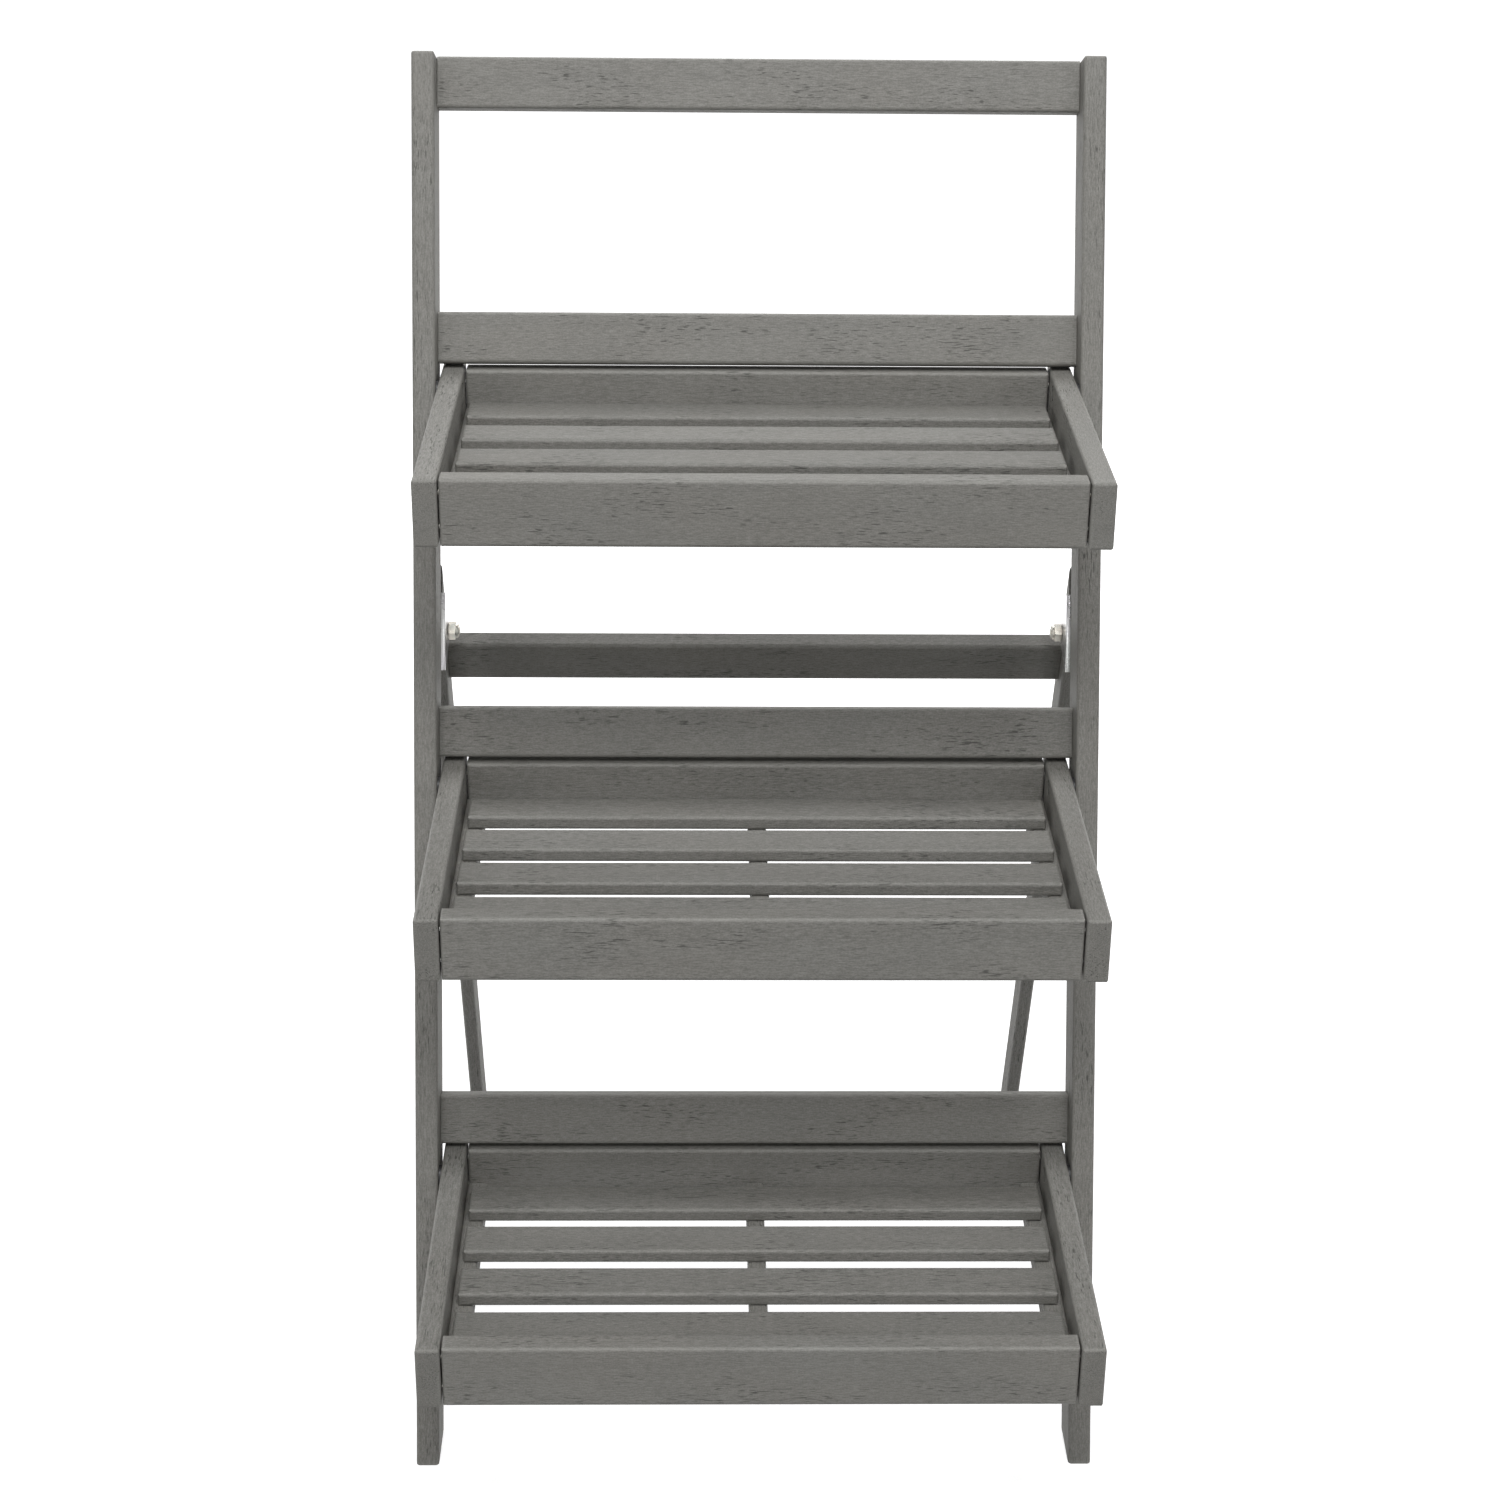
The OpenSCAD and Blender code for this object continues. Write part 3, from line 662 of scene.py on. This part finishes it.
# Sizes of the bolts and nuts, as the CAD model has them
PIVOT_HEAD = 12 * MM
PIVOT_SHANK = 6 * MM
PIVOT_NUT = 12 * MM
HINGE_SHANK = 8 * MM
HINGE_FLATS = 13 * MM
HINGE_HEAD = 18 * MM
HINGE_HEAD_HEIGHT = 3.6 * MM
HINGE_RIM = 0.8 * MM
HINGE_COLLAR = 2 * MM

# How round the brackets' sheared edges are rubbed, and how sharp an edge must be to be rubbed
BRACKET_EDGE = 0.3 * MM
BRACKET_SHARP = math.radians(40)


def coat(node, material):
    """Gives a CAD node this material alone."""
    mesh = frame["nodes"][node].data
    mesh.materials.clear()
    mesh.materials.append(material)


def stain_boards():
    hardware = ("screws", "bracket", "bolts", "nuts", "washers")
    boards = [(node, body) for body, nodes in BODIES.items() for node in nodes if not node.endswith(hardware)]
    for number, (node, body) in enumerate(boards):
        coat(node, stained_wood(Board(node, body, number)))


def bracket(side, material):
    """A pressed bracket, with the sheared edges of its plate rubbed round."""
    node = side + "_hinge_bracket"
    plate = merged(node)
    bmesh.ops.dissolve_limit(plate, angle_limit=math.radians(1), verts=plate.verts, edges=plate.edges)
    mesh = bpy.data.meshes.new(node + "_plate")
    plate.to_mesh(mesh)
    plate.free()
    mesh.materials.append(material)
    piece = added(mesh.name, mesh)
    edges = piece.modifiers.new("rubbed_edges", "BEVEL")
    edges.width = BRACKET_EDGE
    edges.segments = 2
    edges.limit_method = "ANGLE"
    edges.angle_limit = BRACKET_SHARP
    edges.harden_normals = True
    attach(piece, "front_ladder")
    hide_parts(node)


def wood_screws(material):
    tree = screw_tree(material)
    for body, nodes in BODIES.items():
        for node in nodes:
            if node.endswith("screws"):
                found = screw_places(node)
                head, length = found[0][2:]
                fasteners(node + "_cut", tree, [place[:2] for place in found],
                          {"Head": head, "Shank": head / 2, "Length": length}, body, node)


def tray_pivots(material):
    bolts = across_places("tray_pivot_bolts")
    fasteners("tray_pivot_bolts_socketed", pivot_bolt_tree(material), inward(bolts),
              {"Head": PIVOT_HEAD, "Shank": PIVOT_SHANK, "Length": length_of(bolts)},
              "front_ladder", "tray_pivot_bolts")
    nuts = across_places("tray_pivot_nuts")
    fasteners("tray_pivot_nuts_crowned", pivot_nut_tree(material), inward(nuts),
              {"Width": PIVOT_NUT, "Bore": PIVOT_SHANK, "Height": length_of(nuts)},
              "front_ladder", "tray_pivot_nuts")


def hinges(steel, ring):
    nuts = across_places("hinge_nuts")
    height = length_of(nuts)
    fasteners("hinge_nuts_rolled", hinge_nut_tree(steel), inward(nuts),
              {"Flats": HINGE_FLATS, "Bore": HINGE_SHANK, "Body height": height - HINGE_COLLAR,
               "Collar height": HINGE_COLLAR}, "front_ladder", "hinge_nuts")
    fasteners("hinge_nut_rings", lock_ring_tree(ring), inward(nuts),
              {"Flats": HINGE_FLATS, "Bore": HINGE_SHANK, "Low": height - 0.9 * HINGE_COLLAR,
               "High": height - 0.15 * HINGE_COLLAR}, "front_ladder", None)
    bolts = across_places("hinge_bolts")
    fasteners("hinge_bolts_threaded", hinge_bolt_tree(steel), inward(bolts, HINGE_HEAD_HEIGHT),
              {"Head": HINGE_HEAD, "Head height": HINGE_HEAD_HEIGHT, "Rim": HINGE_RIM, "Shank": HINGE_SHANK,
               "Length": length_of(bolts) - HINGE_HEAD_HEIGHT}, "front_ladder", "hinge_bolts")


# ---- Floor, light and camera ----

FLOOR_HALF = 40.0

# The floor's own glow near the stand, where the lamps add the rest, so that a shadow shows. Between these
# distances from the stand's middle it rises to white.
NEAR_GLOW = 0.68
GLOW_RISE = (0.9, 2.2)

# The middle of the stand, which the lamps face
LAMP_AIM = Vector((0.0, 0.0, 0.5))

# Each square lamp's place, width and power
LAMPS = {
    "front_lamp": ((0.0, -2.8, 4.7), 2.6, 174),
    "left_lamp": ((-1.8, -2.2, 1.2), 1.0, 6),
    "right_lamp": ((1.8, -2.2, 1.2), 1.0, 6),
    "back_lamp": ((0.0, 1.9, 2.6), 1.2, 34),
    "back_left_lamp": ((-1.8, 2.0, 0.9), 1.0, 8),
    "back_right_lamp": ((1.8, 2.0, 0.9), 1.0, 8),
}

# The light that comes from all round, and the white that shows there
SOFT_LIGHT = 0.06
SHOWN_WHITE = 1.0

# Where the photograph was taken from, its tilt, and the lens for a picture that is this wide on the sensor
CAMERA_PLACE = Vector((-0.04934, -1.99879, 1.45988))
LOOK_DOWN = math.radians(24.77)
LOOK_RIGHT = math.radians(1.25)
CAMERA_ROLL = math.radians(0.67)
LENS = 67.24
SENSOR = 36.0


def pale_floor():
    """A white floor that keeps the stand's shadow. Light that bounces off it onto the stand is kept low."""
    paint = Finish("pale_floor")
    away = paint.add("ShaderNodeVectorMath", {"operation": "LENGTH"}, {0: paint.object_place()},
                     output="Value")
    glow = paint.blend(away.past(*GLOW_RISE), grey(NEAR_GLOW), grey(1.0))
    white = paint.add("ShaderNodeBsdfPrincipled", None,
                      {"Base Color": grey(0.9), "Roughness": 1.0, "Specular IOR Level": 0.0,
                       "Emission Color": glow, "Emission Strength": 1.0})
    dim = paint.add("ShaderNodeBsdfDiffuse", None, {"Color": grey(0.25)})
    surface = paint.add("ShaderNodeMixShader", None, {0: paint.shown_rays(), 1: dim, 2: white})
    paint.add("ShaderNodeOutputMaterial", None, {"Surface": surface})
    return paint.material


def floor():
    mesh = bpy.data.meshes.new("floor")
    corners = [(x * FLOOR_HALF, y * FLOOR_HALF, 0.0) for x, y in ((-1, -1), (1, -1), (1, 1), (-1, 1))]
    mesh.from_pydata(corners, [], [(0, 1, 2, 3)])
    mesh.materials.append(pale_floor())
    added("floor", mesh)


def lamps():
    for name, (place, width, power) in LAMPS.items():
        lamp = bpy.data.lights.new(name, "AREA")
        lamp.size = width
        lamp.energy = power
        holder = added(name, lamp)
        holder.location = place
        holder.rotation_euler = (Vector(place) - LAMP_AIM).to_track_quat("Z", "Y").to_euler()


def surroundings():
    world = bpy.data.worlds.new("studio")
    world.use_nodes = True
    bpy.context.scene.world = world
    air = NodeTree(world.node_tree)
    air.tree.nodes.clear()
    dim = air.add("ShaderNodeBackground", None, {"Color": grey(1.0), "Strength": SOFT_LIGHT})
    white = air.add("ShaderNodeBackground", None, {"Color": grey(1.0), "Strength": SHOWN_WHITE})
    surface = air.add("ShaderNodeMixShader", None, {0: air.shown_rays(), 1: dim, 2: white})
    air.add("ShaderNodeOutputWorld", None, {"Surface": surface})


def camera():
    ahead = Vector((math.sin(LOOK_RIGHT), math.cos(LOOK_RIGHT), 0))
    level = Vector((math.cos(LOOK_RIGHT), -math.sin(LOOK_RIGHT), 0))
    up = Vector((0, 0, 1))
    look = math.cos(LOOK_DOWN) * ahead - math.sin(LOOK_DOWN) * up
    rise = math.sin(LOOK_DOWN) * ahead + math.cos(LOOK_DOWN) * up
    right = math.cos(CAMERA_ROLL) * level + math.sin(CAMERA_ROLL) * rise
    top = -math.sin(CAMERA_ROLL) * level + math.cos(CAMERA_ROLL) * rise
    lens = bpy.data.cameras.new("camera")
    lens.lens = LENS
    lens.sensor_width = SENSOR
    holder = added("camera", lens)
    holder.matrix_world = Matrix.Translation(CAMERA_PLACE) @ Matrix([right, top, -look]).transposed().to_4x4()
    bpy.context.scene.camera = holder


stain_boards()
# The washers' near-black is painted shade, for the shaded gap between the legs and the trays
coat("tray_pivot_washers", nylon("black_nylon", rgb(0.016, 0.016, 0.017), rgb(0.034, 0.034, 0.036)))
plate_zinc = zinc("plate_zinc", BRACKET_TINTS, 34 * MM, 0.30)
bracket("left", plate_zinc)
bracket("right", plate_zinc)
wood_screws(zinc("screw_zinc", SCREW_TINTS, 4 * MM, 0.38))
# The tray pivot bolts and nuts are darkened as painted shade
tray_pivots(zinc("pivot_zinc", PIVOT_SHADE_TINTS, 5 * MM, 0.42))
hinges(zinc("bolt_zinc", BOLT_TINTS, 6 * MM, 0.32),
       nylon("pale_nylon", rgb(0.62, 0.60, 0.53), rgb(0.80, 0.79, 0.74)))

floor()
lamps()
surroundings()
camera()
bpy.context.scene.view_settings.view_transform = "Standard"
